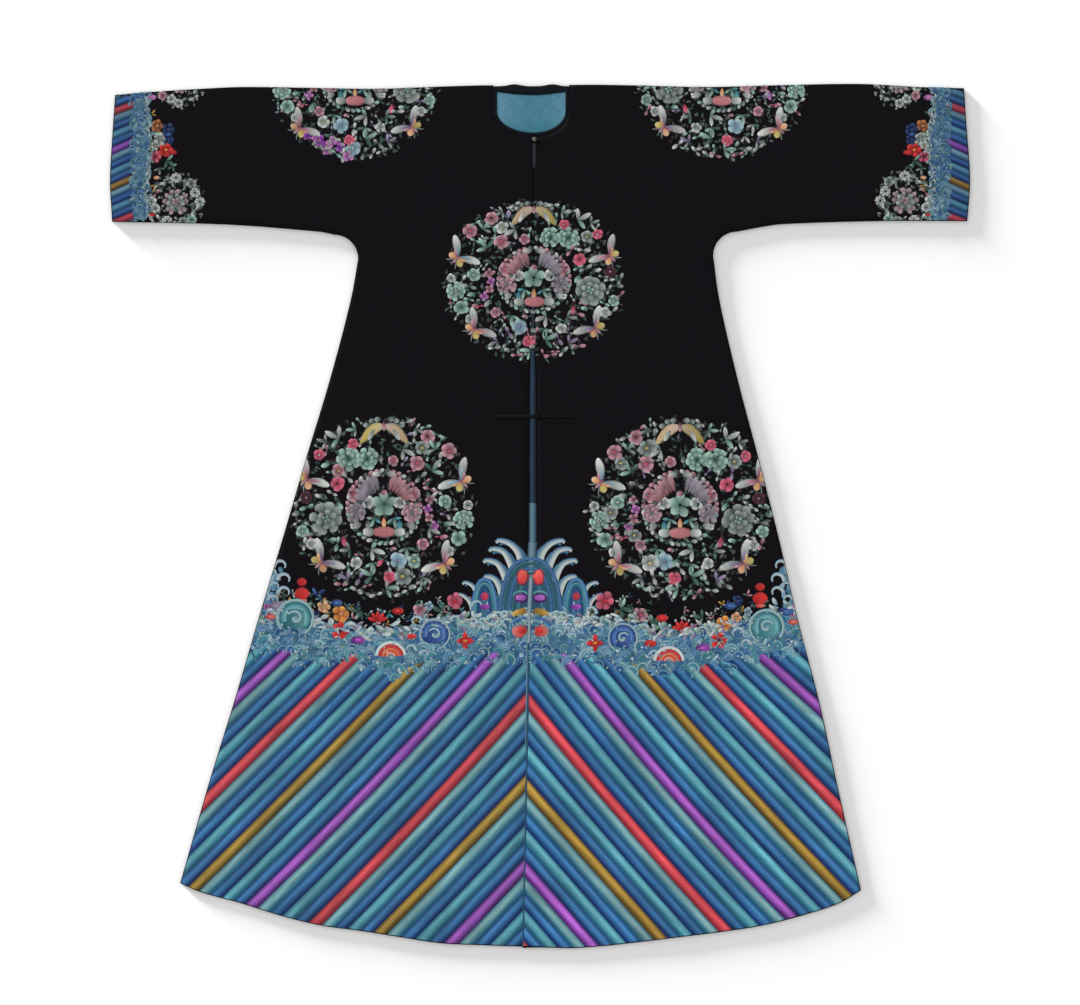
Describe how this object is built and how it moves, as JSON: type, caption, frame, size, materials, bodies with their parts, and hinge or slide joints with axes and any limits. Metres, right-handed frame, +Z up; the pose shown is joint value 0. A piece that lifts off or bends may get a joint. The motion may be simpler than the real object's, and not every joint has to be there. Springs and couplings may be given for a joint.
{
  "type": "manchu surcoat",
  "caption": "Long black silk surcoat with embroidered roundels, waves and diagonal hem stripes, laid flat on its back with the sleeves spread.",
  "frame": {"origin": "middle of the laid coat's outline, on the surface that it lies on", "axes": "+X to the cuff on the right of the view, +Y from the hem to the neck, +Z up from the surface"},
  "size_m": [1.3906, 1.398, 0.0143],
  "materials": {
    "satin": "black silk satin with a soft sheen, embroidered in coloured silk floss",
    "lining": "plain teal-blue silk with a soft sheen",
    "binding": "black silk bias strip and cord",
    "piping": "slate-blue silk strip",
    "button": "worn gilt brass ball"
  },
  "bodies": {
    "root": {"coat_left": "satin", "coat_right": "satin", "neck_lining": "lining", "neck_binding": "binding", "front_edge_strip": "piping", "neck_button": "button", "neck_button_tab": "binding", "waist_loop": "binding", "waist_knot": "binding"}
  },
  "joints": []
}
